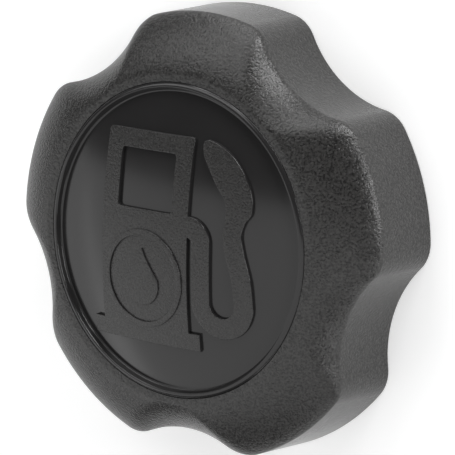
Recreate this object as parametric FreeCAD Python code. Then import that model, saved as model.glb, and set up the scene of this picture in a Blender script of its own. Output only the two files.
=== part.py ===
import FreeCAD, Part
import math
import os

# Fuel filler cap with a ratcheting grip, lying on its open rim with the face up.
# The origin is on the cap's axis in the plane of the rim. +Z runs out of the face,
# and the middle of one lobe lies on +Y. Lengths are millimetres, angles are degrees.

# Threaded closure that screws onto the tank's neck
NECK_BORE = 31.0            # radius of the bore that takes the neck
SKIRT_WALL = 2.2
MOUTH_RECESS = 0.4          # the closure's mouth lies this far inside the rim
FLANGE_REACH = 2.3
FLANGE_HEIGHT = 1.8
PLATE = 1.8
COLLAR_WALL = 1.6
COLLAR_HEIGHT = 2.4
STIFFENERS = 12
STIFFENER_WIDTH = 1.2
STIFFENER_REACH = 1.4
GASKET_HEIGHT = 1.8
GASKET_WIDTH = 6.5
GASKET_PLAY = 0.05
GASKET_BEAD = 0.35
GASKET_BEADS = (0.25, 0.7)  # places of the beads as shares of the width
GASKET_UNDERCUT = 0.8       # depth of the groove that keeps the gasket in

# Ratchet between the closure and the grip
TEETH = 24
TOOTH_LENGTH = 3.6
TEETH_REACH = 0.8           # how far the teeth reach outside the skirt
TOOTH_HEIGHT = 1.0
TOOTH_GAP = 0.25
TOOTH_LAND = 3.5            # angle of a tooth's flat top
TOOTH_RAMP = 5.0            # angle of a tooth's slope
TOOTH_PLAY = 0.6            # angle between the two driving faces
RING_BODY = 1.2
RING_MARGIN = 0.4
RING_ROOM = 0.3             # from the ring's edge to the wall of its room in the cover
NOTCH_DEPTH = 1.2
NOTCH_CLEARANCE = 0.25
WAVE_ROOM = 1.5
WAVE_STRIP = 0.4
WAVE_WIDTH = 2.2
SPRING_PLAY = 0.02          # between a spring and what it bears on
WAVES = 5
WAVE_SAMPLES = 12           # points of the curve in each wave

# Grip cover
CAP_HEIGHT = 22.8
LOBES = 5
LOBE_HEIGHT = 5.8           # how far a lobe stands out beyond the hollows
SCOOP = 24.9                # radius of a hollow's arc
CORNER = 7.15               # radius of the corner between a lobe and a hollow
LEAST_LOBE = 0.3            # what is left of a lobe at the edge of the flat face
LOBE_ROLL = 7.2             # depth over which the face rolls into a lobe
HOLLOW_ROLL = 6.4           # the same at the middle of a hollow
ROLL_POWER = 1.33           # two gives an ellipse, one a plain chamfer
ROLL_STEPS = 8              # outlines that the roll is lofted through
CAVITY_STEPS = 3            # the same inside the cover, where the faces are plain
LOBE_DRAFT = 2.2
HOLLOW_DRAFT = 0.9
COVER_WALL = 2.4
COVER_ROOF = 2.2
COVER_GAP = 1.3             # between the closure's flange and the hollows' wall
LEDGE = 1.8
RECESS_WALL = 1.8
FACE_BORDER = 1.4           # flat part of the face round the insert
RIB_WIDTH = 1.8
RIB_SPREAD = 13.0           # angle of a rib from its lobe's middle
RIB_FOOT = 1.5
DRIVE_GAP = 0.45            # between the closure's teeth and the ribs that drive the ring
ARM_WIDTH = 9.0
ARM_WALL = 1.6
ARM_GAP = 0.7
ARM_SETBACK = 0.5           # the arms end this far inside the closure's mouth
BARB_GAP = 0.3
BARB_HEIGHT = 1.7
BARB_REACH = 1.1
BARB_LAND = 0.5

# Face insert
INSERT_GAP = 0.1
INSERT_RISE = 0.55          # height of the rim's crest above the face
LIP_SLOPE = 1.0             # width of the rim outside its crest
LIP_WALL = 0.55             # width of the rim inside its crest
INSERT_RECESS = 0.8         # depth of the floor's edge below the face
INSERT_DOME = 120.0         # radius of the dome that the floor rises in
INSERT_FLOOR = 1.6
LEDGE_REACH = 3.7
INSERT_FOOT = 0.8           # from the hooks in to the edge of the hollow underside
HOOKS = 6
HOOK_WIDTH = 5.0
HOOK_WALL = 1.2
HOOK_GAP = 0.3
HOOK_BARB = 0.6
HOOK_PLAY = 0.2             # between a hook and the ledge's underside
HOOK_LAND = 0.5
HOOK_TIP = 1.5
HOOK_CLEARANCE = 1.6        # between a hook and the ratchet ring

# Vent valve in the middle of the closure
HOUSING_RADIUS = 15.9
HOUSING_WALL = 1.5
HOUSING_GAP = 0.3
HOUSING_FLOOR = 1.2
HOUSING_FLANGE = 0.8
HOUSING_FLANGE_REACH = 3.1
HOUSING_DROP = 0.55         # the floor's height above the bore's end
HOUSING_SEAL_GAP = 0.2      # from the flat seal to the housing's wall and to its flange's edge
SEAT_BORE_GAP = 0.9         # between the seat's bore and the poppet's head
SEAT_WIDTH = 0.8
SEAT_HEIGHT = 0.6
SEAT_GAP = 0.05
SEAL_HEIGHT = 0.8
SEAL_OUTSIDE = 1.3          # reach of the seal beyond the seat
SEAL_INSIDE = 0.3           # reach of the seal inside the poppet's bead
SEAL_FIT = 0.05
DISC_HEIGHT = 0.7
DISC_SKIRT = 0.5
SKIRT_LIFT = 0.2            # from the seal's face up to the skirt's edge
PORTS = 4
PORT_RADIUS = 0.75
PORT_CIRCLE = 3.4
STEM_RADIUS = 1.2
STEM_GAP = 0.08
STEM_EDGE = 0.2
HEAD_RADIUS = 5.6
HEAD_HEIGHT = 0.6
HEAD_EDGE = 0.3
BEAD_WIDTH = 0.7
BEAD_HEIGHT = 0.3
CLIP_HEIGHT = 0.4
CLIP_RADIUS = 2.8
CLIP_GROOVE = 0.35
CLIP_MOUTH = 0.8            # the clip's mouth as a share of the grooved stem
STEM_END = 0.3
COIL_SECTIONS = 12          # sections in each turn of a coil spring
VACUUM_SPRING_HEIGHT = 2.25
VACUUM_SPRING_RADIUS = 2.0
VACUUM_WIRE = 0.18
VACUUM_TURNS = 3
PRESSURE_SPRING_HEIGHT = 3.15
PRESSURE_SPRING_RADIUS = 7.2
PRESSURE_WIRE = 0.3
PRESSURE_TURNS = 2
RETAINER_HEIGHT = 0.9
RETAINER_STEP = 0.5
RETAINER_GAP = 0.1
RETAINER_BORE = 3.6
RETAINER_LIP = 0.3
GUIDE_GAP = 0.4             # between the pressure spring and the ring that guides it
GUIDE_WALL = 0.7
GUIDE_HEIGHT = 0.6
VENTS = 6
VENT_RADIUS = 1.8
VENT_INSET = 4.0            # from the housing's wall to the middles of the vents
SNAPS = 3
SNAP_WIDTH = 5.0
SNAP_REACH = 0.9
SNAP_GAP = 0.1
SNAP_LAND = 0.3
SNAP_HEIGHT = 1.4
FILTER_GAP = 0.4
FILTER_MARGIN = 2.0

# Radii worked out from the neck outwards
skirt_out = NECK_BORE + SKIRT_WALL
flange_out = skirt_out + FLANGE_REACH
hollow_radius = flange_out + COVER_GAP + COVER_WALL
lobe_radius = hollow_radius + LOBE_HEIGHT
teeth_out = skirt_out + TEETH_REACH
teeth_in = teeth_out - TOOTH_LENGTH
ring_in = teeth_in - RING_MARGIN
ring_out = teeth_out + RING_MARGIN
hook_out = ring_in - HOOK_CLEARANCE
opening = hook_out - HOOK_BARB
insert_radius = opening + LEDGE_REACH
recess_radius = insert_radius + INSERT_GAP
face_radius = recess_radius + FACE_BORDER
recess_out = recess_radius + RECESS_WALL
notch_in = ring_out - NOTCH_DEPTH
arm_in = flange_out + ARM_GAP
hook_in = opening - HOOK_GAP - HOOK_WALL

# Heights worked out from the face downwards
insert_top = CAP_HEIGHT + INSERT_RISE
insert_floor = CAP_HEIGHT - INSERT_RECESS
insert_under = insert_floor - INSERT_FLOOR
ledge_under = insert_under - LEDGE
ring_top = ledge_under - WAVE_ROOM
ring_under = ring_top - RING_BODY
plate_top = ring_under - TOOTH_HEIGHT - TOOTH_GAP
plate_under = plate_top - PLATE
bore_end = plate_under - GASKET_HEIGHT
flange_under = MOUTH_RECESS + ARM_SETBACK + BARB_HEIGHT + BARB_GAP
flange_top = flange_under + FLANGE_HEIGHT
floor_under = bore_end + HOUSING_DROP
floor_top = floor_under + HOUSING_FLOOR
seat_top = floor_top + SEAT_HEIGHT
seal_under = seat_top + SEAT_GAP
disc_under = seal_under + SEAL_HEIGHT
disc_top = disc_under + DISC_HEIGHT
clip_under = disc_top + VACUUM_SPRING_HEIGHT
retainer_under = disc_top + PRESSURE_SPRING_HEIGHT
retainer_top = retainer_under + RETAINER_HEIGHT
collar_top = plate_top + COLLAR_HEIGHT

housing_in = HOUSING_RADIUS - HOUSING_WALL
collar_in = HOUSING_RADIUS + HOUSING_GAP
collar_out = collar_in + COLLAR_WALL
vent_circle = housing_in - VENT_INSET
seat_bore = HEAD_RADIUS + SEAT_BORE_GAP
seat_out = seat_bore + SEAT_WIDTH
seal_radius = seat_out + SEAL_OUTSIDE
seal_bore = HEAD_RADIUS - BEAD_WIDTH - SEAL_INSIDE

AXIS = FreeCAD.Vector(0, 0, 1)
ORIGIN = FreeCAD.Vector(0, 0, 0)
SINK = 0.3                  # overlap of shapes that are fused, and overrun of cuts


def point(radius, angle, height=0.0):
    """Point at a radius and an angle round the axis."""
    turn = math.radians(angle)
    return FreeCAD.Vector(radius * math.cos(turn), radius * math.sin(turn), height)


def turned(profile):
    """Solid of revolution of a closed outline of (radius, height) points."""
    corners = [FreeCAD.Vector(radius, 0, height) for radius, height in profile]
    face = Part.Face(Part.makePolygon(corners + corners[:1]))
    return face.revolve(ORIGIN, AXIS, 360)


def band(inner, outer, low, high):
    """Plain ring, or a disc where the inner radius is nothing."""
    disc = Part.makeCylinder(outer, high - low, FreeCAD.Vector(0, 0, low))
    if inner <= 0:
        return disc
    hole = Part.makeCylinder(inner, high - low + 2 * SINK, FreeCAD.Vector(0, 0, low - SINK))
    return disc.cut(hole)


def spaced(shape, count, start=0.0):
    """Copies of a shape, evenly spaced round the axis."""
    copies = []
    for k in range(count):
        copy = shape.copy()
        copy.rotate(ORIGIN, AXIS, start + 360.0 * k / count)
        copies.append(copy)
    return copies


def block(inner, outer, width, low, high):
    """Bar across the X axis from one radius to another."""
    corner = FreeCAD.Vector(inner, -width / 2, low)
    return Part.makeBox(outer - inner, width, high - low, corner)


def prism(profile, width):
    """Bar of an outline of (radius, height) points, centred on the XZ plane."""
    corners = [FreeCAD.Vector(radius, -width / 2, height) for radius, height in profile]
    face = Part.Face(Part.makePolygon(corners + corners[:1]))
    return face.extrude(FreeCAD.Vector(0, width, 0))


def joined(shape, extras):
    """One clean solid of a shape and the shapes fused onto it."""
    return shape.multiFuse(extras).removeSplitter()


def lobed_wire(height, reach, hollow, scoop, corner):
    """Outline of the grip: lobes, hollows and the round corners between them, all arcs."""
    hub = hollow + scoop
    near = reach - corner
    far = scoop + corner
    swing = math.degrees(math.acos((near ** 2 + hub ** 2 - far ** 2) / (2 * near * hub)))
    pitch = 360.0 / LOBES
    edges = []
    for k in range(LOBES):
        middle = 90 + (k + 0.5) * pitch
        pit = point(hub, middle, height)
        lobe_start = point(reach, middle - pitch + swing, height)
        lobe_middle = point(reach, middle - pitch / 2, height)
        lobe_end = point(reach, middle - swing, height)
        edges.append(Part.Arc(lobe_start, lobe_middle, lobe_end).toShape())
        ends = []
        turns = []
        for side in (-1, 1):
            centre = point(near, middle + side * swing, height)
            to_lobe = point(1, middle + side * swing)
            to_pit = (pit - centre).normalize()
            ends.append(centre + to_pit * corner)
            turns.append(centre + (to_lobe + to_pit).normalize() * corner)
        edges.append(Part.Arc(lobe_end, turns[0], ends[0]).toShape())
        edges.append(Part.Arc(ends[0], point(hollow, middle, height), ends[1]).toShape())
        edges.append(Part.Arc(ends[1], turns[1], point(reach, middle + swing, height)).toShape())
    return Part.Wire(edges)


def roll(depth, width, height):
    """How far an edge that rolls over a width and a height lies inside its wall."""
    if depth >= height:
        return 0.0
    share = 1 - depth / height
    return width * (1 - (1 - share ** ROLL_POWER) ** (1 / ROLL_POWER))


def grip_outline(depth, inset, drop):
    """Outline of the grip at a depth below its face, moved in and down."""
    reach = lobe_radius - roll(depth, lobe_radius - face_radius, LOBE_ROLL)
    reach += math.tan(math.radians(LOBE_DRAFT)) * max(0.0, depth - LOBE_ROLL)
    width = hollow_radius - face_radius + LEAST_LOBE
    hollow = hollow_radius - roll(depth, width, HOLLOW_ROLL)
    hollow += math.tan(math.radians(HOLLOW_DRAFT)) * depth
    hub = hollow_radius + SCOOP
    height = CAP_HEIGHT - drop - depth
    scoop = hub - hollow
    return lobed_wire(height, reach - inset, hollow - inset, scoop + inset, CORNER - inset)


def grip_body(inset=0.0, drop=0.0, foot=0.0, steps=ROLL_STEPS, plain=False):
    """Solid of the grip's form: a rolled top on a drafted wall."""
    depths = []
    for k in range(steps + 1):
        depths.append(LOBE_ROLL * (1 - math.cos(math.radians(90.0 * k / steps))))
    top = Part.makeLoft([grip_outline(depth, inset, drop) for depth in depths], True, plain)
    ends = [LOBE_ROLL, CAP_HEIGHT - drop - foot]
    wall = Part.makeLoft([grip_outline(depth, inset, drop) for depth in ends], True, True)
    return wall.fuse(top)


def snap_arm():
    """Long arm with a barb that catches under the closure's flange."""
    low = MOUTH_RECESS + ARM_SETBACK
    catch = flange_under - BARB_GAP
    profile = [
        (arm_in, CAP_HEIGHT - COVER_ROOF + SINK),
        (arm_in, catch),
        (flange_out - BARB_REACH, catch),
        (flange_out - BARB_REACH, catch - BARB_LAND),
        (arm_in + ARM_WALL / 2, low),
        (arm_in + ARM_WALL, low),
        (arm_in + ARM_WALL, CAP_HEIGHT - COVER_ROOF + SINK),
    ]
    return prism(profile, ARM_WIDTH)


def cover_rib():
    """Stiffening rib whose upper end reaches in and drives the ratchet ring."""
    drive_low = plate_top + TOOTH_HEIGHT + DRIVE_GAP
    outer_start = arm_in + ARM_WALL
    profile = [
        (notch_in + NOTCH_CLEARANCE, CAP_HEIGHT),
        (notch_in + NOTCH_CLEARANCE, drive_low),
        (outer_start, drive_low),
        (outer_start, RIB_FOOT),
        (lobe_radius + COVER_WALL, RIB_FOOT),
        (lobe_radius + COVER_WALL, CAP_HEIGHT),
    ]
    return prism(profile, RIB_WIDTH)


def grip_cover():
    outside = grip_body()
    cavity = grip_body(COVER_WALL, COVER_ROOF, -SINK, CAVITY_STEPS, True)
    ring_room = band(0, ring_out + RING_ROOM, -SINK, ledge_under)
    shell = outside.cut(cavity.fuse(ring_room))
    seat = band(opening, recess_out, ledge_under, CAP_HEIGHT - SINK)
    ribs = []
    for side in (-1, 1):
        ribs += spaced(cover_rib(), LOBES, 90 + side * RIB_SPREAD)
    limit = grip_body(COVER_WALL / 2, COVER_ROOF / 2, 0.0, CAVITY_STEPS, True)
    inner = seat.multiFuse(ribs + spaced(snap_arm(), LOBES, 90)).common(limit)
    body = shell.fuse(inner)
    recess = band(0, recess_radius, insert_under, CAP_HEIGHT + SINK)
    hole = band(0, opening, ledge_under - SINK, CAP_HEIGHT + SINK)
    return body.cut(recess.fuse(hole)).removeSplitter()


def domed_disc(rim, foot, wall):
    """Disc whose floor rises in a dome inside a rim of (radius, height) points, hollow underneath."""
    under = rim[0][1]
    edge, height = rim[-1]
    rise = INSERT_DOME - math.sqrt(INSERT_DOME ** 2 - edge ** 2)
    top = height + rise + SINK
    solids = []
    for radius in (INSERT_DOME, INSERT_DOME - wall):
        # the ball lies on its side, so that neither its poles nor its seam is in the dome
        ball = Part.makeSphere(radius)
        ball.rotate(ORIGIN, FreeCAD.Vector(0, 1, 0), 90)
        ball.rotate(ORIGIN, FreeCAD.Vector(1, 0, 0), 90)
        ball.translate(FreeCAD.Vector(0, 0, height + rise - INSERT_DOME))
        solids.append(ball)
    floor = band(0, edge, under, top).common(solids[0])
    hollow = band(0, foot, under - SINK, top).common(solids[1])
    ring = turned([(edge - SINK, under)] + rim + [(edge - SINK, height)])
    return joined(floor, [ring]).cut(hollow)


def face_insert():
    crest = insert_radius - LIP_SLOPE
    rim = [
        (insert_radius, insert_under), (insert_radius, CAP_HEIGHT),
        (crest, insert_top), (crest - LIP_WALL, insert_floor),
    ]
    disc = domed_disc(rim, hook_in - INSERT_FOOT, INSERT_FLOOR)
    hook_top = insert_under + SINK
    catch = ledge_under - HOOK_PLAY
    tip = catch - HOOK_TIP
    face = opening - HOOK_GAP
    hook = [
        (hook_in, hook_top), (hook_in, tip), (face, tip), (hook_out, catch - HOOK_LAND),
        (hook_out, catch), (face, catch), (face, hook_top),
    ]
    return joined(disc, spaced(prism(hook, HOOK_WIDTH), HOOKS))


def tooth(low, high, root, drive, crest, foot):
    """Saw tooth between the teeth's two radii, from its driving face to the foot of its slope."""
    middle = (drive + foot) / 2
    outline = [(drive, low), (drive, high), (crest, high), (foot, root), (foot, low)]
    wires = []
    for radius in (teeth_in, teeth_out):
        corners = []
        for angle, height in outline:
            across = radius * math.tan(math.radians(angle - middle))
            corners.append(FreeCAD.Vector(radius, across, height))
        wires.append(Part.makePolygon(corners + corners[:1]))
    solid = Part.makeLoft(wires, True, True)
    solid.rotate(ORIGIN, AXIS, middle)
    return solid


def closure_tooth():
    """Tooth of the closure: the grip pushes on its driving face to unscrew the cap."""
    foot = TOOTH_LAND + TOOTH_RAMP
    high = plate_top + TOOTH_HEIGHT
    return tooth(plate_top - SINK, high, plate_top, 0, TOOTH_LAND, foot)


def ring_tooth():
    """Tooth of the ratchet ring, pointing down, with its slope beside the closure's."""
    pitch = 360.0 / TEETH
    drive = -TOOTH_PLAY
    crest = TOOTH_LAND + TOOTH_RAMP - pitch + TOOTH_PLAY
    foot = crest - TOOTH_RAMP
    low = plate_top + TOOTH_GAP
    return tooth(ring_under + SINK, low, ring_under, drive, crest, foot)


def ratchet_ring():
    body = band(ring_in, ring_out, ring_under, ring_top)
    notch_width = RIB_WIDTH + 2 * NOTCH_CLEARANCE
    notch = block(notch_in, ring_out + SINK, notch_width, plate_top, ring_top + SINK)
    notches = spaced(notch, LOBES, 90 - RIB_SPREAD) + spaced(notch, LOBES, 90 + RIB_SPREAD)
    body = joined(body, spaced(ring_tooth(), TEETH))
    return body.cut(Part.makeCompound(notches))


def wave_spring():
    """Flat spring washer that waves up and down between the ratchet ring and the ledge."""
    inner = notch_in - NOTCH_CLEARANCE - WAVE_WIDTH
    swing = (WAVE_ROOM - WAVE_STRIP) / 2 - SPRING_PLAY
    middle = ring_top + WAVE_ROOM / 2
    samples = WAVE_SAMPLES * WAVES

    def edge(radius, side):
        points = []
        for k in range(samples):
            angle = 360.0 * k / samples
            height = middle + swing * math.cos(math.radians(WAVES * angle))
            points.append(point(radius, angle, height + side * WAVE_STRIP / 2))
        curve = Part.BSplineCurve()
        curve.interpolate(Points=points, PeriodicFlag=True)
        return curve.toShape()

    corners = [edge(inner, -1), edge(inner + WAVE_WIDTH, -1),
               edge(inner + WAVE_WIDTH, 1), edge(inner, 1)]
    faces = []
    for k in range(4):
        faces.append(Part.makeRuledSurface(corners[k], corners[(k + 1) % 4]))
    return Part.Solid(Part.Shell(faces))


def threaded_closure():
    groove = NECK_BORE + GASKET_UNDERCUT
    profile = [
        (NECK_BORE, MOUTH_RECESS), (skirt_out, MOUTH_RECESS),
        (skirt_out, flange_under), (flange_out, flange_under),
        (flange_out, flange_top), (skirt_out, flange_top),
        (skirt_out, plate_under), (ring_out, plate_under),
        (ring_out, plate_top), (collar_out, plate_top),
        (collar_out, collar_top), (collar_in, collar_top),
        (collar_in, plate_under), (groove, plate_under),
        (groove, bore_end), (NECK_BORE, bore_end),
    ]
    stiffener = block(skirt_out - SINK, skirt_out + STIFFENER_REACH, STIFFENER_WIDTH,
                      flange_top - SINK, plate_under + SINK)
    extras = spaced(stiffener, STIFFENERS) + spaced(closure_tooth(), TEETH)
    return joined(turned(profile), extras)


def neck_gasket():
    """Flat ring with two sharp beads that the neck's end presses on."""
    outer = NECK_BORE + GASKET_UNDERCUT - GASKET_PLAY
    inner = outer - GASKET_WIDTH
    flat = bore_end + GASKET_BEAD
    profile = [(inner, plate_under), (inner, flat)]
    for share in GASKET_BEADS:
        ridge = inner + share * GASKET_WIDTH
        profile += [(ridge - GASKET_BEAD, flat), (ridge, bore_end), (ridge + GASKET_BEAD, flat)]
    return turned(profile + [(outer, flat), (outer, plate_under)])


def valve_housing():
    brim = HOUSING_RADIUS + HOUSING_FLANGE_REACH
    brim_top = floor_under + HOUSING_FLANGE
    step = housing_in + RETAINER_STEP
    wall_top = retainer_top + RETAINER_LIP
    profile = [
        (seat_bore, floor_under), (brim, floor_under),
        (brim, brim_top), (HOUSING_RADIUS, brim_top),
        (HOUSING_RADIUS, wall_top), (step - RETAINER_LIP, wall_top),
        (step - RETAINER_LIP, retainer_top), (step, retainer_top),
        (step, retainer_under), (housing_in, retainer_under),
        (housing_in, floor_top), (seat_out, floor_top), (seat_out, seat_top), (seat_bore, seat_top),
    ]
    low = collar_top + SNAP_GAP
    root = HOUSING_RADIUS - SINK
    tip = HOUSING_RADIUS + SNAP_REACH
    snap = prism([(root, low), (tip, low), (tip, low + SNAP_LAND), (root, low + SNAP_HEIGHT)], SNAP_WIDTH)
    return joined(turned(profile), spaced(snap, SNAPS, 90))


def housing_seal():
    inner = HOUSING_RADIUS + HOUSING_SEAL_GAP
    outer = HOUSING_RADIUS + HOUSING_FLANGE_REACH - HOUSING_SEAL_GAP
    return band(inner, outer, floor_under + HOUSING_FLANGE, plate_under)


def spring_retainer():
    outer = housing_in + RETAINER_STEP - RETAINER_GAP
    guide = PRESSURE_SPRING_RADIUS - PRESSURE_WIRE - GUIDE_GAP
    ring = band(guide - GUIDE_WALL, guide, retainer_under - GUIDE_HEIGHT, retainer_under + SINK)
    body = joined(band(RETAINER_BORE, outer, retainer_under, retainer_top), [ring])
    vent = Part.makeCylinder(VENT_RADIUS, RETAINER_HEIGHT + 2 * SINK,
                             FreeCAD.Vector(vent_circle, 0, retainer_under - SINK))
    return body.cut(Part.makeCompound(spaced(vent, VENTS)))


def coil(radius, wire, turns, low, high):
    """Round-wire coil spring that fills a height, lofted through sections along its turns."""
    first = low + wire + SPRING_PLAY
    rise = high - wire - SPRING_PLAY - first
    sections = []
    for k in range(turns * COIL_SECTIONS + 1):
        share = k / (turns * COIL_SECTIONS)
        start = FreeCAD.Vector(radius, 0, first + share * rise)
        ring = Part.makeCircle(wire, start, FreeCAD.Vector(0, 1, 0))
        ring.rotate(ORIGIN, AXIS, 360.0 * turns * share)
        sections.append(Part.Wire([ring]))
    return Part.makeLoft(sections, True, True)


def pressure_spring():
    return coil(PRESSURE_SPRING_RADIUS, PRESSURE_WIRE, PRESSURE_TURNS, disc_top, retainer_under)


def vacuum_spring():
    return coil(VACUUM_SPRING_RADIUS, VACUUM_WIRE, VACUUM_TURNS, disc_top, clip_under)


def pressure_plate():
    skirt_in = seal_radius + SEAL_FIT
    skirt_out_radius = skirt_in + DISC_SKIRT
    skirt_low = seal_under + SKIRT_LIFT
    bore = STEM_RADIUS + STEM_GAP
    profile = [
        (bore, disc_under), (skirt_in, disc_under), (skirt_in, skirt_low),
        (skirt_out_radius, skirt_low), (skirt_out_radius, disc_top), (bore, disc_top),
    ]
    port = Part.makeCylinder(PORT_RADIUS, DISC_HEIGHT + 2 * SINK,
                             FreeCAD.Vector(PORT_CIRCLE, 0, disc_under - SINK))
    return turned(profile).cut(Part.makeCompound(spaced(port, PORTS)))


def pressure_seal():
    return band(seal_bore, seal_radius, seal_under, disc_under)


def vacuum_poppet():
    bead_top = seal_under - SEAT_GAP
    head_top = bead_top - BEAD_HEIGHT
    head_under = head_top - HEAD_HEIGHT
    stem_top = clip_under + CLIP_HEIGHT + STEM_END
    neck = STEM_RADIUS - CLIP_GROOVE
    profile = [
        (0, head_under), (HEAD_RADIUS - HEAD_EDGE, head_under),
        (HEAD_RADIUS, head_under + HEAD_EDGE), (HEAD_RADIUS, bead_top),
        (HEAD_RADIUS - BEAD_WIDTH, bead_top), (HEAD_RADIUS - BEAD_WIDTH, head_top),
        (STEM_RADIUS, head_top), (STEM_RADIUS, clip_under),
        (neck, clip_under), (neck, clip_under + CLIP_HEIGHT),
        (STEM_RADIUS, clip_under + CLIP_HEIGHT), (STEM_RADIUS - STEM_EDGE, stem_top), (0, stem_top),
    ]
    return turned(profile)


def stem_clip():
    neck = STEM_RADIUS - CLIP_GROOVE
    ring = band(neck, CLIP_RADIUS, clip_under, clip_under + CLIP_HEIGHT)
    width = 2 * CLIP_MOUTH * neck
    high = clip_under + CLIP_HEIGHT + SINK
    mouth = block(0, CLIP_RADIUS + SINK, width, clip_under - SINK, high)
    return ring.cut(mouth)


def vent_filter():
    outer = hook_in - FILTER_MARGIN
    return band(collar_out + FILTER_GAP, outer, plate_top, insert_under - FILTER_GAP)


PARTS = {
    "grip_cover": grip_cover,
    "face_insert": face_insert,
    "ratchet_ring": ratchet_ring,
    "wave_spring": wave_spring,
    "threaded_closure": threaded_closure,
    "neck_gasket": neck_gasket,
    "valve_housing": valve_housing,
    "housing_seal": housing_seal,
    "spring_retainer": spring_retainer,
    "pressure_spring": pressure_spring,
    "pressure_plate": pressure_plate,
    "pressure_seal": pressure_seal,
    "vacuum_poppet": vacuum_poppet,
    "vacuum_spring": vacuum_spring,
    "stem_clip": stem_clip,
    "vent_filter": vent_filter,
}

os.makedirs("parts", exist_ok=True)
for name, make in PARTS.items():
    shape = make()
    shape.exportStep("parts/%s.step" % name)
    print(name, len(shape.Solids), "solid", round(shape.Volume, 2), shape.isValid())
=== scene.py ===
import bisect
import math

import bmesh
import bpy
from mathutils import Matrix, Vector


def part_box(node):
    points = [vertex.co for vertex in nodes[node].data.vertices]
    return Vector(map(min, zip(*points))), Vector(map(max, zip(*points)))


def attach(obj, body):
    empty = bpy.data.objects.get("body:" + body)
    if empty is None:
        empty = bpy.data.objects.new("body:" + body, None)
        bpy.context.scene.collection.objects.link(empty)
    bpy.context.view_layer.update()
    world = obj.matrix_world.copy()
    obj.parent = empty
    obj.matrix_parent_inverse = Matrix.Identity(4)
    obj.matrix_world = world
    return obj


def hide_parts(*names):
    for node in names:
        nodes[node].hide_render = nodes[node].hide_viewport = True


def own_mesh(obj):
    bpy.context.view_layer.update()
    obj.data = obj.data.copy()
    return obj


# Fuel filler cap lying on its open rim. The cap's lengths are millimetres until a mesh is made,
# the studio's are metres, and angles are degrees. +Z runs out of the face, and +Y through the
# middle of a lobe.

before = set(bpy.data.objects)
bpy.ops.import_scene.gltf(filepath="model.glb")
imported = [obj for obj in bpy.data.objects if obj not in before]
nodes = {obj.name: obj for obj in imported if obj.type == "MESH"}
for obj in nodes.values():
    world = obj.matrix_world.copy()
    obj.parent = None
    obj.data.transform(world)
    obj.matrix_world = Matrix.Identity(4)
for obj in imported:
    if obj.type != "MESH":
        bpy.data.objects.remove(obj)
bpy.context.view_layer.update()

MM = 0.001


def low(node):
    """Lowest height of a CAD node."""
    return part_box(node)[0].z / MM


def high(node):
    """Highest height of a CAD node."""
    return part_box(node)[1].z / MM


def reach(node):
    """Largest distance of a CAD node from the axis, for a round one."""
    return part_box(node)[1].x / MM


# Form of the grip, as the CAD cover has it
LOBES = 5
LOBE_RADIUS = 45.0          # from the axis to a lobe, where its roll ends
HOLLOW_RADIUS = 39.2        # from the axis to the middle of a hollow between two lobes
SCOOP = 24.9                # radius of a hollow's arc
CORNER = 7.15               # radius of the corner between a lobe and a hollow
FACE_RADIUS = 33.0          # edge of the flat face, towards a lobe
LEAST_LOBE = 0.3            # what is left of a lobe at the edge of the flat face
LOBE_ROLL = 7.2             # depth over which the face rolls into a lobe
HOLLOW_ROLL = 6.4           # the same at the middle of a hollow
ROLL_POWER = 1.33           # two gives an ellipse, one a plain chamfer
LOBE_DRAFT = 2.2            # angle at which a lobe's wall leans out below its roll
HOLLOW_DRAFT = 0.9          # the same in a hollow, from the face down
CAP_HEIGHT = high("grip_cover")
RECESS_RADIUS = 31.6        # recess that takes the insert
RECESS_ROUND = 0.05         # edge of the face round the insert
RIM_ROUND = 0.5             # edge of the open rim
COVER_DEPTH = 1.1           # the cover's inner faces lie further in than this

# Form of the insert
INSERT_RADIUS = reach("face_insert")
INSERT_DOME = 120.0         # radius of the dome that the floor rises in
INSERT_RECESS = 0.8         # depth of the floor's edge below the face
INSERT_RISE = 0.55          # height of the lip's crest above the face
LIP_SLOPE = 1.0             # width of the lip outside its crest
LIP_WALL = 0.55             # width of the lip inside its crest
LIP_EDGE = 0.35             # from the insert's edge in to the lip's shoulder
LIP_STEP = 0.3              # height of that shoulder above the face
LIP_ROUND = 0.35            # how far each side of the crest is rounded
FOOT_ROUND = 0.4            # the same at the foot of the lip's inner wall

insert_floor = CAP_HEIGHT - INSERT_RECESS
crest_radius = INSERT_RADIUS - LIP_SLOPE
floor_radius = crest_radius - LIP_WALL
dome_centre = insert_floor - math.sqrt(INSERT_DOME ** 2 - floor_radius ** 2)

# Samples of the round shapes
LOBE_SAMPLES = 26
CORNER_SAMPLES = 16
HOLLOW_SAMPLES = 22
ROLL_ROWS = 34
WALL_ROWS = 6
ROUND_ROWS = 5
FLOOR_RINGS = 26
SHARP_ANGLE = 30.0          # edges that turn by more than this stay sharp
SAME = 0.02                 # two heights or radii nearer than this are one
WELD = 0.001                # vertices nearer than this are joined


def polar(radius, angle):
    """Point (x, y) at a distance and an angle from the origin."""
    turn = math.radians(angle)
    return radius * math.cos(turn), radius * math.sin(turn)


def arc(x, y, radius, start, end, steps):
    """Points (x, y) along an arc round a centre, with both its ends."""
    points = []
    for k in range(steps + 1):
        dx, dy = polar(radius, start + (end - start) * k / steps)
        points.append((x + dx, y + dy))
    return points


def bearing(place):
    """Angle of a place round the axis."""
    return math.degrees(math.atan2(place.y, place.x))


def distance(place):
    """Distance of a place from the axis."""
    return math.hypot(place.x, place.y)


def dome(radius):
    """Height of the insert's floor at a distance from the axis."""
    return dome_centre + math.sqrt(INSERT_DOME ** 2 - radius ** 2)


# Meshes

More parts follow.
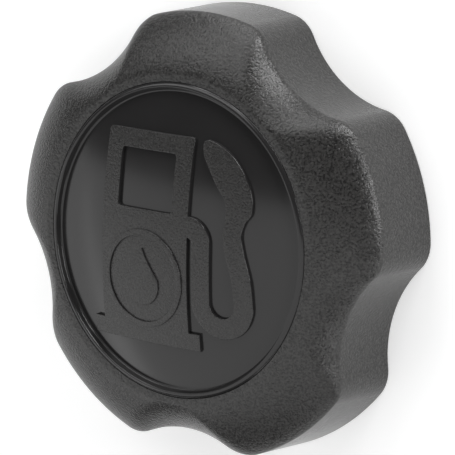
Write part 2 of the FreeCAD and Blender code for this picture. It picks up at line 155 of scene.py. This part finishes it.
def piece(name, bm, body, materials, standing_for=()):
    """Object of a mesh in millimetres that rides on a body, and may stand for some CAD nodes."""
    bmesh.ops.recalc_face_normals(bm, faces=bm.faces)
    mesh = bpy.data.meshes.new(name)
    bm.to_mesh(mesh)
    bm.free()
    for vertex in mesh.vertices:
        vertex.co *= MM
    mesh.polygons.foreach_set("use_smooth", [True] * len(mesh.polygons))
    mesh.set_sharp_from_angle(angle=math.radians(SHARP_ANGLE))
    for material in materials:
        mesh.materials.append(material)
    obj = bpy.data.objects.new(name, mesh)
    bpy.context.scene.collection.objects.link(obj)
    weighted = obj.modifiers.new("even shading", "WEIGHTED_NORMAL")
    weighted.keep_sharp = True
    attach(obj, body)
    if standing_for:
        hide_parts(*standing_for)
    return obj


def loop_of(bm, points):
    """New vertices at some points, as a list."""
    return [bm.verts.new(point) for point in points]


def ring_of(bm, radius, height, angles):
    """New vertices round the axis at some angles."""
    return loop_of(bm, [(*polar(radius, angle), height) for angle in angles])


def skin(bm, first, second):
    """Faces between two closed rows of as many vertices."""
    count = len(first)
    for k in range(count):
        after = (k + 1) % count
        bm.faces.new((first[k], first[after], second[after], second[k]))


def tube(bm, rows):
    """Faces along some closed rows, with a face over each end."""
    for first, second in zip(rows, rows[1:]):
        skin(bm, first, second)
    bm.faces.new(rows[0])
    bm.faces.new(rows[-1])


def fan(bm, row, point):
    """Faces from a closed row to one point."""
    tip = bm.verts.new(point)
    count = len(row)
    for k in range(count):
        bm.faces.new((row[k], row[(k + 1) % count], tip))


def row_edges(bm, row):
    """The edges along a closed row, made where they aren't there yet."""
    edges = []
    for k in range(len(row)):
        pair = (row[k], row[(k + 1) % len(row)])
        edges.append(bm.edges.get(pair) or bm.edges.new(pair))
    return edges


def flat_fill(bm, outer, inner):
    """Faces of the flat ring between two closed rows."""
    edges = row_edges(bm, outer) + row_edges(bm, inner)
    bmesh.ops.triangle_fill(bm, use_beauty=True, use_dissolve=False, edges=edges)


def opened(node, outside):
    """CAD node's mesh in millimetres, without the faces whose corners all pass a test."""
    bm = bmesh.new()
    bm.from_mesh(nodes[node].data)
    for vertex in bm.verts:
        vertex.co /= MM
    bmesh.ops.remove_doubles(bm, verts=bm.verts, dist=WELD)
    marked = {vertex for vertex in bm.verts if outside(vertex.co)}
    gone = [face for face in bm.faces if all(vertex in marked for vertex in face.verts)]
    bmesh.ops.delete(bm, geom=gone, context="FACES")
    return bm


def open_row(bm, height):
    """The open edge's vertices at a height, in order round the axis."""
    row = set()
    for edge in bm.edges:
        if edge.is_boundary and all(abs(vertex.co.z - height) < SAME for vertex in edge.verts):
            row.update(edge.verts)
    return sorted(row, key=lambda vertex: bearing(vertex.co))


def lowered_row(bm):
    """The open edge's vertices at the face, moved down by the rounding of the recess's edge."""
    row = open_row(bm, CAP_HEIGHT)
    for vertex in row:
        vertex.co.z = CAP_HEIGHT - RECESS_ROUND
    return row


# Grip cover

def roll(depth, width, height):
    """How far an edge that rolls over a width and a height lies inside its wall."""
    if depth >= height:
        return 0.0
    share = 1 - depth / height
    return width * (1 - (1 - share ** ROLL_POWER) ** (1 / ROLL_POWER))


def grip_row(depth, inset=0.0):
    """Points (x, y) of the grip's outline at a depth below its face."""
    lobe = LOBE_RADIUS - roll(depth, LOBE_RADIUS - FACE_RADIUS, LOBE_ROLL)
    lobe += math.tan(math.radians(LOBE_DRAFT)) * max(0.0, depth - LOBE_ROLL)
    hollow = HOLLOW_RADIUS - roll(depth, HOLLOW_RADIUS - FACE_RADIUS + LEAST_LOBE, HOLLOW_ROLL)
    hollow += math.tan(math.radians(HOLLOW_DRAFT)) * depth
    # The corner's centre lies near the axis, and the hollow's hub beyond it.
    near = lobe - CORNER
    hub = HOLLOW_RADIUS + SCOOP
    corner = CORNER - inset
    scoop = hub - hollow + inset
    far = scoop + corner
    # Angles at the axis, at the corner's centre and at the hub, of the triangle between them
    swing = math.degrees(math.acos((near ** 2 + hub ** 2 - far ** 2) / (2 * near * hub)))
    along, across = polar(hub, swing)
    bend = math.degrees(math.atan2(across, along - near))
    opening = math.degrees(math.asin(near * math.sin(math.radians(swing)) / far))
    pitch = 360.0 / LOBES
    points = []
    for k in range(LOBES):
        middle = 90 + (k + 0.5) * pitch
        before = middle - swing
        after = middle + swing
        facing = middle + 180
        for centre, radius, start, end, samples in (
                ((0, 0), lobe - inset, after - pitch, before, LOBE_SAMPLES),
                (polar(near, before), corner, before, before + bend, CORNER_SAMPLES),
                (polar(hub, middle), scoop, facing + opening, facing - opening, HOLLOW_SAMPLES),
                (polar(near, after), corner, after - bend, after, CORNER_SAMPLES)):
            points += arc(*centre, radius, start, end, samples)[:-1]
    return points


def grip_levels():
    """(depth, inset) of each row from the edge of the face down to the rounded rim."""
    levels = []
    for k in range(ROLL_ROWS + 1):
        turn = math.radians(90.0 * k / ROLL_ROWS)
        levels.append((LOBE_ROLL * (1 - math.cos(turn) ** (2 / ROLL_POWER)), 0.0))
    wall = CAP_HEIGHT - LOBE_ROLL - RIM_ROUND
    for k in range(1, WALL_ROWS + 1):
        levels.append((LOBE_ROLL + wall * k / WALL_ROWS, 0.0))
    for k in range(1, ROUND_ROWS + 1):
        turn = math.radians(90.0 * k / ROUND_ROWS)
        depth = CAP_HEIGHT - RIM_ROUND * (1 - math.sin(turn))
        levels.append((depth, RIM_ROUND * (1 - math.cos(turn))))
    return levels


def outer_radius_table():
    """Depths of the rows above the rounded rim, and each row's radius by whole degrees from -180."""
    depths = []
    rows = []
    for depth, inset in grip_levels():
        if inset:
            continue
        around = sorted((math.degrees(math.atan2(y, x)), math.hypot(x, y)) for x, y in grip_row(depth))
        angles = [angle for angle, radius in around]
        radii = []
        for degree in range(-180, 181):
            k = min(max(bisect.bisect(angles, degree), 1), len(angles) - 1)
            share = (degree - angles[k - 1]) / (angles[k] - angles[k - 1])
            radii.append(around[k - 1][1] + share * (around[k][1] - around[k - 1][1]))
        depths.append(depth)
        rows.append(radii)
    return depths, rows


def grip_cover(materials):
    """Smooth lobed shell round the inner faces of the CAD cover."""
    depths, rows = outer_radius_table()

    def outside(place):
        if place.z > CAP_HEIGHT - SAME or place.z < SAME:
            return True
        k = min(bisect.bisect(depths, CAP_HEIGHT - place.z), len(depths) - 1)
        degree = round(bearing(place)) + 180
        return distance(place) > min(rows[k - 1][degree], rows[k][degree]) - COVER_DEPTH

    bm = opened("grip_cover", outside)
    cavity = open_row(bm, 0.0)
    row = lowered_row(bm)
    angles = [bearing(vertex.co) for vertex in row]
    for k in range(1, ROUND_ROWS + 1):
        turn = math.radians(90.0 * k / ROUND_ROWS)
        radius = RECESS_RADIUS + RECESS_ROUND * (1 - math.cos(turn))
        above = ring_of(bm, radius, CAP_HEIGHT - RECESS_ROUND * (1 - math.sin(turn)), angles)
        skin(bm, row, above)
        row = above
    outer = []
    for depth, inset in grip_levels():
        height = CAP_HEIGHT - depth
        outer.append(loop_of(bm, [(x, y, height) for x, y in grip_row(depth, inset)]))
    for upper, under in zip(outer, outer[1:]):
        skin(bm, upper, under)
    flat_fill(bm, outer[0], row)
    flat_fill(bm, outer[-1], cavity)
    piece("cover_shell", bm, "grip", materials, ["grip_cover"])


# Face insert

def lip_profile():
    """(radius, height) points from the insert's outer edge over the lip to the floor."""
    # The last corner is a place on the floor, three roundings in from the foot.
    inner_radius = floor_radius - 3 * FOOT_ROUND
    corners = [
        (INSERT_RADIUS, CAP_HEIGHT - RECESS_ROUND),
        (INSERT_RADIUS, CAP_HEIGHT),
        (INSERT_RADIUS - LIP_EDGE, CAP_HEIGHT + LIP_STEP),
        (crest_radius, CAP_HEIGHT + INSERT_RISE),
        (floor_radius, insert_floor),
        (inner_radius, dome(inner_radius)),
    ]
    corners = [Vector(corner) for corner in corners]
    rounds = (RECESS_ROUND, LIP_EDGE / 2, LIP_ROUND, FOOT_ROUND)
    points = []
    for before, corner, after, size in zip(corners, corners[1:], corners[2:], rounds):
        back = (before - corner).normalized() * size
        ahead = (after - corner).normalized() * size
        for k in range(ROUND_ROWS + 1):
            share = k / ROUND_ROWS
            points.append(tuple(corner + back * (1 - share) ** 2 + ahead * share ** 2))
    return points


def face_insert(materials):
    """Smooth lip and domed floor on the underside of the CAD insert."""
    def outside(place):
        radius = distance(place)
        if radius > floor_radius - SAME:
            return place.z > insert_floor - SAME
        return place.z > dome(radius) - INSERT_RECESS

    bm = opened("face_insert", outside)
    row = lowered_row(bm)
    angles = [bearing(vertex.co) for vertex in row]
    # The profile's first point is where the row lies already.
    profile = lip_profile()[1:]
    last = profile[-1][0]
    for k in range(1, FLOOR_RINGS):
        radius = last * (1 - k / FLOOR_RINGS)
        profile.append((radius, dome(radius)))
    for radius, height in profile:
        inner = ring_of(bm, radius, height, angles)
        skin(bm, row, inner)
        row = inner
    fan(bm, row, (0, 0, dome(0)))
    piece("insert_disc", bm, "grip", materials, ["face_insert"])


# Raised sign of a fuel pump on the insert's floor, upright along +Y
SIGN_RELIEF = 0.7           # height of the pump over the floor
SIGN_SINK = 0.1             # how far a raised shape reaches into what is under it
SIGN_BEVEL = 0.1
BEVEL_STEPS = 2
SIGN_CELL = 1.5             # largest cell of the sign's top, which follows the dome
PUMP_LEFT = -16.4
PUMP_RIGHT = 5.7
PUMP_TOP = 21.45
PUMP_ROUND = 0.6
PUMP_BASE_TOP = -17.4
PUMP_BASE_STEP = 2.6        # how far the base stands out on each side
PUMP_FOOT = -20.9
WINDOW_LEFT = -12.3
WINDOW_RIGHT = 1.7
WINDOW_TOP = 17.8
WINDOW_FOOT = 6.1
WINDOW_ROUND = 0.7
HOSE_TOP = 6.1              # upper and lower edge of the hose where it leaves the pump
HOSE_FOOT = 1.9
HOSE_RIGHT = 11.0           # right-hand edge of the run that goes down
HOSE_WIDTH = 4.2
LOOP_INNER_FOOT = -13.3     # lowest point of the loop's inner edge
LOOP_OUTER_RIGHT = 20.75
# The nozzle's tip, points along its outer edge up to there, and back down its inner edge
NOZZLE_TIP = (8.8, 21.4)
NOZZLE_OUTER = [(20.3, -5.4), (18.7, 0.2), (18.0, 3.6), (18.7, 6.2), (20.0, 8.2), (19.7, 11.6),
                (18.0, 15.1), (15.1, 18.5), (11.6, 20.6)]
NOZZLE_INNER = [(7.8, 20.7), (8.2, 18.4), (9.7, 15.9), (11.9, 12.6), (13.9, 10.0), (14.3, 6.8),
                (13.9, 3.6), (14.6, -0.6), (16.1, -5.8)]
RING_CENTRE = (-5.35, -7.8)
RING_OUTER = 9.95
RING_INNER = 8.75
RING_STEPS = 120
RING_RELIEF = 0.3           # height of the ring and the drop over the pump
DROP_RADIUS = 4.2
DROP_TOP = 6.2              # the drop's tip over the ring's centre
DROP_FOOT = 5.4             # the drop's lowest point under it
DROP_OPEN = 20.0            # angle above its middle where the round part ends
DROP_NECK_WIDTH = 1.5       # half of the neck's width
DROP_NECK_DEPTH = 2.6       # how far the neck is below the tip


def rounded_box(left, right, foot, top, size, steps=5):
    """Closed outline of a box with round corners."""
    points = []
    for x, y, start in ((right, top, 0), (left, top, 90), (left, foot, 180), (right, foot, 270)):
        inward_x = -size if x == right else size
        inward_y = -size if y == top else size
        points += arc(x + inward_x, y + inward_y, size, start, start + 90.0, steps)
    return points


def smooth(points, steps=6):
    """Open line through some points, smoothed as a Catmull-Rom spline."""
    line = []
    padded = [points[0]] + points + [points[-1]]
    for k in range(1, len(padded) - 2):
        a, b, c, d = padded[k - 1:k + 3]
        for i in range(steps):
            t = i / steps
            place = []
            for axis in (0, 1):
                place.append(0.5 * (2 * b[axis] + (c[axis] - a[axis]) * t
                                    + (2 * a[axis] - 5 * b[axis] + 4 * c[axis] - d[axis]) * t ** 2
                                    + (3 * b[axis] - a[axis] - 3 * c[axis] + d[axis]) * t ** 3))
            line.append(tuple(place))
    line.append(points[-1])
    return line


def pump_outline():
    """One outline of the pump's body with its base, its hose and its nozzle."""
    base_left = PUMP_LEFT - PUMP_BASE_STEP
    base_right = PUMP_RIGHT + PUMP_BASE_STEP
    loop_inner_right = LOOP_OUTER_RIGHT - HOSE_WIDTH
    loop_x = (HOSE_RIGHT + loop_inner_right) / 2
    loop_radius = (loop_inner_right - HOSE_RIGHT) / 2
    loop_y = LOOP_INNER_FOOT + loop_radius
    inner_bend = HOSE_RIGHT - HOSE_WIDTH - PUMP_RIGHT
    outer_bend = HOSE_RIGHT - PUMP_RIGHT
    corner_y = PUMP_TOP - PUMP_ROUND
    points = arc(PUMP_LEFT + PUMP_ROUND, corner_y, PUMP_ROUND, 90, 180, steps=4)
    points += [(PUMP_LEFT, PUMP_BASE_TOP), (base_left, PUMP_BASE_TOP), (base_left, PUMP_FOOT)]
    points += [(base_right, PUMP_FOOT), (base_right, PUMP_BASE_TOP), (PUMP_RIGHT, PUMP_BASE_TOP)]
    points += [(PUMP_RIGHT, HOSE_FOOT)]
    points += arc(PUMP_RIGHT, HOSE_FOOT - inner_bend, inner_bend, 90, 0, steps=5)
    points += arc(loop_x, loop_y, loop_radius + HOSE_WIDTH, 180, 360, steps=28)
    points += smooth([(LOOP_OUTER_RIGHT, loop_y), *NOZZLE_OUTER, NOZZLE_TIP])[1:]
    points += smooth([NOZZLE_TIP, *NOZZLE_INNER, (loop_inner_right, loop_y)])[1:]
    points += arc(loop_x, loop_y, loop_radius, 360, 180, steps=16)[1:]
    points += arc(PUMP_RIGHT, HOSE_TOP - outer_bend, outer_bend, 0, 90, steps=12)
    points += arc(PUMP_RIGHT - PUMP_ROUND, corner_y, PUMP_ROUND, 0, 90, steps=4)
    return points


def drop_outline():
    """Outline of a drop: a circle's lower part that runs up to a point."""
    x, y = RING_CENTRE
    middle = y + DROP_RADIUS - DROP_FOOT
    tip = (x, y + DROP_TOP)
    neck = tip[1] - DROP_NECK_DEPTH
    points = arc(x, middle, DROP_RADIUS, 180 - DROP_OPEN, 360 + DROP_OPEN, steps=30)
    points += smooth([points[-1], (x + DROP_NECK_WIDTH, neck), tip])[1:]
    points += smooth([tip, (x - DROP_NECK_WIDTH, neck), points[0]])[1:-1]
    return points


def relief(name, outlines, base, height, materials):
    """Raised shape of flat outlines, the later ones its holes, that follows the floor's dome.

    The first material is for its sides and the second for its top.
    """
    curve = bpy.data.curves.new(name, "CURVE")
    curve.dimensions = "2D"
    curve.fill_mode = "BOTH"
    curve.extrude = (height + SIGN_SINK) / 2 - SIGN_BEVEL
    curve.bevel_depth = SIGN_BEVEL
    curve.bevel_resolution = BEVEL_STEPS
    curve.offset = -SIGN_BEVEL
    for outline in outlines:
        spline = curve.splines.new("POLY")
        spline.points.add(len(outline) - 1)
        for point, (x, y) in zip(spline.points, outline):
            point.co = (x, y, 0, 1)
        spline.use_cyclic_u = True
    holder = bpy.data.objects.new(name, curve)
    bpy.context.scene.collection.objects.link(holder)
    bpy.context.view_layer.update()
    flat = bpy.data.meshes.new_from_object(holder.evaluated_get(bpy.context.evaluated_depsgraph_get()))
    bpy.data.objects.remove(holder)
    bm = bmesh.new()
    bm.from_mesh(flat)
    bpy.data.meshes.remove(flat)
    bmesh.ops.remove_doubles(bm, verts=bm.verts, dist=WELD)
    cuts = int(2 * floor_radius / SIGN_CELL)
    for axis in (Vector((1, 0, 0)), Vector((0, 1, 0))):
        for k in range(1, cuts):
            place = axis * (k * SIGN_CELL - floor_radius)
            geometry = bm.verts[:] + bm.edges[:] + bm.faces[:]
            bmesh.ops.bisect_plane(bm, geom=geometry, dist=WELD, plane_co=place, plane_no=axis)
    middle = base + (height - SIGN_SINK) / 2
    top = (height + SIGN_SINK) / 2
    for face in bm.faces:
        face.material_index = 1 if min(vertex.co.z for vertex in face.verts) > top - SAME else 0
    for vertex in bm.verts:
        vertex.co.z += middle + dome(distance(vertex.co))
    piece(name, bm, "grip", materials)


def sign(materials):
    """The pump, and a plain ring with a drop on it."""
    window = rounded_box(WINDOW_LEFT, WINDOW_RIGHT, WINDOW_FOOT, WINDOW_TOP, WINDOW_ROUND)
    ring = [arc(*RING_CENTRE, radius, 0, 360, RING_STEPS)[:-1] for radius in (RING_OUTER, RING_INNER)]
    relief("sign_pump", [pump_outline(), window], 0.0, SIGN_RELIEF, materials)
    relief("sign_ring", ring, SIGN_RELIEF, RING_RELIEF, materials)
    relief("sign_drop", [drop_outline()], SIGN_RELIEF, RING_RELIEF, materials)


# Springs
PRESSURE_WIRE = 0.3         # radius of a coil's wire
PRESSURE_TURNS = 2
VACUUM_WIRE = 0.18
VACUUM_TURNS = 3
TURN_STEPS = 60             # sections in one turn of a coil
WIRE_SIDES = 12
WAVES = 5
WAVE_STRIP = 0.4            # thickness of the washer's strip
WAVE_WIDTH = 2.2            # the strip's width, towards the axis
WAVE_STEPS = 240


def shorten(obj):
    """Give a spring its own copy of its mesh."""
    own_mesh(obj)


def coil(name, node, wire, turns, body, materials):
    """Round-wire spring in the place of its CAD node."""
    bottom = low(node)
    top = high(node)
    radius = reach(node) - wire
    bm = bmesh.new()
    rows = []
    for k in range(turns * TURN_STEPS + 1):
        share = k / (turns * TURN_STEPS)
        height = bottom + wire + share * (top - bottom - 2 * wire)
        angle = 360.0 * turns * share
        ring = []
        for i in range(WIRE_SIDES):
            out, up = polar(wire, 360.0 * i / WIRE_SIDES)
            ring.append((*polar(radius + out, angle), height + up))
        rows.append(loop_of(bm, ring))
    tube(bm, rows)
    obj = piece(name, bm, body, materials, [node])
    shorten(obj)


def wave_washer(materials):
    """Flat strip bent into waves round the axis."""
    node = "wave_spring"
    outer = reach(node)
    inner = outer - WAVE_WIDTH
    middle = (low(node) + high(node)) / 2
    swing = (high(node) - low(node) - WAVE_STRIP) / 2
    corners = [(inner, -WAVE_STRIP / 2), (outer, -WAVE_STRIP / 2), (outer, WAVE_STRIP / 2),
               (inner, WAVE_STRIP / 2)]
    bm = bmesh.new()
    rows = []
    for k in range(WAVE_STEPS):
        angle = 360.0 * k / WAVE_STEPS
        height = middle + swing * math.cos(math.radians(WAVES * angle))
        rows.append(loop_of(bm, [(*polar(radius, angle), height + up) for radius, up in corners]))
    for k in range(WAVE_STEPS):
        skin(bm, rows[k], rows[(k + 1) % WAVE_STEPS])
    obj = piece("wave_washer", bm, "grip", materials, [node])
    shorten(obj)


# Thread of the closure's bore, with heights from the closure's mouth
THREAD_ROOT = 31.1          # radius just inside the bore's wall
THREAD_CREST = 30.0
THREAD_PITCH = 5.0
THREAD_START = 1.7
THREAD_END = 9.6
THREAD_FOOT = 1.3           # half of the ridge's width at its root
THREAD_SHOULDER = 0.5625    # the same where its flank turns into its crest
THREAD_LAND = 0.315         # the same on its crest
SHOULDER_HEIGHT = 0.85      # height of that turn as a share of the ridge's
THREAD_STEP = 3.0           # angle between two sections
THREAD_FADE = 24.0          # angle over which each end runs out
THREAD_TIP = 0.04           # what is left of the height at the very end


def thread_ridge(materials):
    """Right-handed ridge in the closure's bore, with ends that run out into the wall."""
    total = 360.0 * (THREAD_END - THREAD_START) / THREAD_PITCH
    count = int(total / THREAD_STEP)
    bm = bmesh.new()
    rows = []
    for k in range(count + 1):
        angle = total * k / count
        height = low("threaded_closure") + THREAD_START + THREAD_PITCH * angle / 360.0
        fade = min(1.0, angle / THREAD_FADE, (total - angle) / THREAD_FADE)
        fade = THREAD_TIP + (1 - THREAD_TIP) * math.sin(math.radians(90 * fade))
        depth = (THREAD_ROOT - THREAD_CREST) * fade
        section = [(THREAD_ROOT, THREAD_FOOT), (THREAD_ROOT - depth * SHOULDER_HEIGHT, THREAD_SHOULDER),
                   (THREAD_ROOT - depth, THREAD_LAND)]
        ring = [(*polar(radius, angle), height - half) for radius, half in section]
        ring += [(*polar(radius, angle), height + half) for radius, half in reversed(section)]
        rows.append(loop_of(bm, ring))
    tube(bm, rows)
    piece("thread_ridge", bm, "closure", materials)


# Materials
PATCH_DETAIL = 3
GRAIN_DETAIL = 2
GRAIN_ROUGHNESS = 0.6
GRAIN_LOW = 0.35            # most of the grain's noise lies between these
GRAIN_HIGH = 0.65


def maths(tree, operation, *terms):
    """Output of a Math node, whose terms are numbers or the outputs of other nodes."""
    node = tree.nodes.new("ShaderNodeMath")
    node.operation = operation
    for socket, term in zip(node.inputs, terms):
        if isinstance(term, float):
            socket.default_value = term
        else:
            tree.links.new(term, socket)
    return node.outputs["Value"]


def remap(tree, value, start, end, first, last):
    """Output that runs from first to last while a value runs from start to end."""
    node = tree.nodes.new("ShaderNodeMapRange")
    for name, number in (("From Min", start), ("From Max", end), ("To Min", first), ("To Max", last)):
        node.inputs[name].default_value = number
    tree.links.new(value, node.inputs["Value"])
    return node.outputs["Result"]


def noise(tree, size, detail, roughness=0.5):
    """Output of a noise that is fixed to the object, with cells of a size in millimetres."""
    place = tree.nodes.new("ShaderNodeTexCoord")
    node = tree.nodes.new("ShaderNodeTexNoise")
    node.inputs["Scale"].default_value = 1 / (size * MM)
    node.inputs["Detail"].default_value = detail
    node.inputs["Roughness"].default_value = roughness
    tree.links.new(place.outputs["Object"], node.inputs["Vector"])
    return node.outputs["Fac"]


def surface(name, colour, roughness, metallic=0.0, grain=0.0, grain_size=0.4, patch=6.0,
            mottle=0.08, spread=0.06, pit_shade=0.0):
    """Material with soft patches and a fine grain, whose sizes and depth are millimetres.

    The patches differ by mottle, a share of the colour, and by spread in roughness. The grain's
    hollows can get painted shade, and its peaks a painted highlight, by a share of the colour.
    """
    material = bpy.data.materials.new(name)
    material.use_nodes = True
    tree = material.node_tree
    shader = tree.nodes["Principled BSDF"]
    shader.inputs["Metallic"].default_value = metallic
    patches = noise(tree, patch, PATCH_DETAIL)
    mix = tree.nodes.new("ShaderNodeMix")
    mix.data_type = "RGBA"
    mix.inputs["A"].default_value = (*[value * (1 - mottle) for value in colour], 1)
    mix.inputs["B"].default_value = (*[value * (1 + mottle) for value in colour], 1)
    tree.links.new(patches, mix.inputs["Factor"])
    tint = mix.outputs["Result"]
    rough = remap(tree, patches, 0.0, 1.0, roughness - spread, roughness + spread)
    tree.links.new(rough, shader.inputs["Roughness"])
    if grain:
        cells = noise(tree, grain_size, GRAIN_DETAIL, GRAIN_ROUGHNESS)
        bump = tree.nodes.new("ShaderNodeBump")
        bump.inputs["Distance"].default_value = grain * MM
        tree.links.new(cells, bump.inputs["Height"])
        tree.links.new(bump.outputs["Normal"], shader.inputs["Normal"])
        # Painted shade darkens the grain's hollows and a painted highlight pales its peaks, by a share of
        # the colour.
        if pit_shade:
            shade = remap(tree, cells, GRAIN_LOW, GRAIN_HIGH, 1 - pit_shade, 1 + pit_shade)
            pit_shaded = tree.nodes.new("ShaderNodeVectorMath")
            pit_shaded.operation = "SCALE"
            tree.links.new(tint, pit_shaded.inputs["Vector"])
            tree.links.new(shade, pit_shaded.inputs["Scale"])
            tint = pit_shaded.outputs["Vector"]
    tree.links.new(tint, shader.inputs["Base Color"])
    return material


# The grip and the sign's top carry painted shade in their grain's hollows and a painted highlight on its
# peaks.
grip_plastic = surface("grained black plastic", (0.02, 0.0194, 0.0188), 0.17, grain=0.145,
                       grain_size=0.47, pit_shade=0.7)
gloss_plastic = surface("smooth black plastic", (0.014, 0.0135, 0.0137), 0.17, spread=0.03, patch=9.0)
sign_plastic = surface("grained sign top", (0.019, 0.0184, 0.018), 0.19, grain=0.12, pit_shade=0.4)
closure_plastic = surface("satin black plastic", (0.045, 0.045, 0.047), 0.38, grain=0.02, grain_size=0.25)
acetal = surface("natural white plastic", (0.74, 0.73, 0.69), 0.34, mottle=0.03, grain=0.01,
                 grain_size=0.3)
rubber = surface("moulded rubber", (0.022, 0.022, 0.022), 0.62, grain=0.03, grain_size=0.2)
spring_steel = surface("drawn spring steel", (0.5, 0.49, 0.47), 0.26, metallic=1.0, mottle=0.12,
                       grain=0.004, grain_size=0.15)
plate_steel = surface("pressed steel", (0.58, 0.57, 0.55), 0.3, metallic=1.0, mottle=0.1,
                      grain=0.006, grain_size=0.2)
foam = surface("open foam", (0.08, 0.08, 0.08), 0.85, grain=0.5, grain_size=0.5, mottle=0.35,
               patch=0.8)

CAD_MATERIALS = {
    "ratchet_ring": acetal,
    "threaded_closure": closure_plastic,
    "neck_gasket": rubber,
    "valve_housing": closure_plastic,
    "housing_seal": rubber,
    "spring_retainer": acetal,
    "pressure_plate": plate_steel,
    "pressure_seal": rubber,
    "vacuum_poppet": acetal,
    "stem_clip": plate_steel,
    "vent_filter": foam,
}
for node, material in CAD_MATERIALS.items():
    mesh = nodes[node].data
    mesh.materials.clear()
    mesh.materials.append(material)

grip_cover([grip_plastic])
face_insert([gloss_plastic])
sign([gloss_plastic, sign_plastic])
thread_ridge([closure_plastic])
wave_washer([spring_steel])
coil("pressure_coil", "pressure_spring", PRESSURE_WIRE, PRESSURE_TURNS, "closure",
     [spring_steel])
coil("vacuum_coil", "vacuum_spring", VACUUM_WIRE, VACUUM_TURNS, "pressure_valve",
     [spring_steel])


# Floor and world
FLOOR_SIZE = 4.0
FLOOR_COLOUR = 0.85
FLOOR_ROUGHNESS = 0.9
FLOOR_LIFT = 0.35           # light that the camera sees, so that the pale floor reads as white
FLOOR_REFLECTED_GLOW = 0.35          # painted glow on the floor's camera side, which only reflections see
GLOW_START = -0.06         # where that painted glow fades in along X
GLOW_FULL = -0.01
WORLD_LIGHT = 0.1
SKY_SEEN = 1.0              # what the camera sees beyond the floor
WHITE = (1, 1, 1, 1)


def lay_floor():
    """Plain pale floor that keeps the cap's shadow, with a painted glow on its camera side that only
    reflections see.
    """
    bm = bmesh.new()
    bmesh.ops.create_grid(bm, x_segments=1, y_segments=1, size=FLOOR_SIZE / 2)
    mesh = bpy.data.meshes.new("floor")
    bm.to_mesh(mesh)
    bm.free()
    floor = bpy.data.objects.new("floor", mesh)
    bpy.context.scene.collection.objects.link(floor)
    material = bpy.data.materials.new("pale floor")
    material.use_nodes = True
    tree = material.node_tree
    shader = tree.nodes["Principled BSDF"]
    shader.inputs["Base Color"].default_value = (FLOOR_COLOUR, FLOOR_COLOUR, FLOOR_COLOUR, 1)
    shader.inputs["Roughness"].default_value = FLOOR_ROUGHNESS
    shader.inputs["Emission Color"].default_value = WHITE
    path = tree.nodes.new("ShaderNodeLightPath")
    place = tree.nodes.new("ShaderNodeTexCoord")
    split = tree.nodes.new("ShaderNodeSeparateXYZ")
    tree.links.new(place.outputs["Object"], split.inputs["Vector"])
    # Painted glow for reflections only, on the floor's camera side, which brightens the cap's walls as a
    # painted reflection.
    side = remap(tree, split.outputs["X"], GLOW_START, GLOW_FULL, 0.0, FLOOR_REFLECTED_GLOW)
    reflected_glow = maths(tree, "MULTIPLY", path.outputs["Is Glossy Ray"], side)
    lift = maths(tree, "MULTIPLY_ADD", path.outputs["Is Camera Ray"], FLOOR_LIFT, reflected_glow)
    tree.links.new(lift, shader.inputs["Emission Strength"])
    mesh.materials.append(material)


def light_world():
    """Dim even light from all round, which the camera sees as a white sky."""
    world = bpy.data.worlds.new("studio")
    bpy.context.scene.world = world
    world.use_nodes = True
    tree = world.node_tree
    background = tree.nodes["Background"]
    background.inputs["Color"].default_value = WHITE
    path = tree.nodes.new("ShaderNodeLightPath")
    seen = path.outputs["Is Camera Ray"]
    strength = maths(tree, "MULTIPLY_ADD", seen, SKY_SEEN - WORLD_LIGHT, WORLD_LIGHT)
    tree.links.new(strength, background.inputs["Strength"])


# Lamps
AIM = Vector((0, 0, 0.015))  # place in the cap that the lamps on stands face
PANEL_HEIGHT = 1.0
STAND_DISTANCE = 1.2        # from that place
# Level panels overhead: name, centre (x, y), size along X and Y, watts
PANELS = (
    ("key panel", (-0.3, -0.9), (3.0, 1.8), 16.0),
    ("back panel", (-0.9, 1.2), (1.8, 1.2), 14.5),
)
# Lamps on stands that face the cap: name, azimuth from +X, elevation, width and height, watts
STANDS = (
    ("front", 17, 12, (0.5, 0.4), 5.7),
    ("right", 62, 12, (0.5, 0.4), 7.0),
    ("right back", 107, 12, (0.5, 0.4), 2.8),
    ("back", 203, 19, (1.0, 0.5), 1.4),
    ("left", 287, 12, (0.5, 0.4), 0.8),
    ("left front", 332, 12, (0.5, 0.4), 1.9),
    ("strip", 79, 27, (0.65, 0.2), 1.2),
)


def area_lamp(name, place, size, watts, turn=(0, 0, 0)):
    """Rectangular lamp that shines along its own -Z."""
    data = bpy.data.lights.new(name, "AREA")
    data.shape = "RECTANGLE"
    data.size, data.size_y = size
    data.energy = watts
    lamp = bpy.data.objects.new(name, data)
    lamp.location = place
    lamp.rotation_euler = turn
    bpy.context.scene.collection.objects.link(lamp)


def set_lamps():
    """The panels overhead and the lamps on stands."""
    for name, centre, size, watts in PANELS:
        area_lamp(name, (*centre, PANEL_HEIGHT), size, watts)
    for name, azimuth, elevation, size, watts in STANDS:
        out, up = polar(STAND_DISTANCE, elevation)
        x, y = polar(out, azimuth)
        place = AIM + Vector((x, y, up))
        area_lamp(name, place, size, watts, (AIM - place).to_track_quat("-Z", "Y").to_euler())


# The camera's place, turn and lens come from a fit of the cap's outline to the photograph.
# Its place is in millimetres.
CAMERA_PLACE = (365.30, 113.95, 487.71)
CAMERA_TURN = (-9.317, 37.516, 1.968)
SENSOR = 36.0
LENS = 241.44
SHIFT = (0.0094, -0.0140)


def set_camera():
    """Camera at the photograph's viewing angle."""
    data = bpy.data.cameras.new("camera")
    data.sensor_width = SENSOR
    data.lens = LENS
    data.shift_x, data.shift_y = SHIFT
    camera = bpy.data.objects.new("camera", data)
    camera.location = Vector(CAMERA_PLACE) * MM
    camera.rotation_euler = [math.radians(angle) for angle in CAMERA_TURN]
    bpy.context.scene.collection.objects.link(camera)
    bpy.context.scene.camera = camera


lay_floor()
light_world()
set_lamps()
set_camera()
bpy.context.scene.view_settings.view_transform = "Standard"
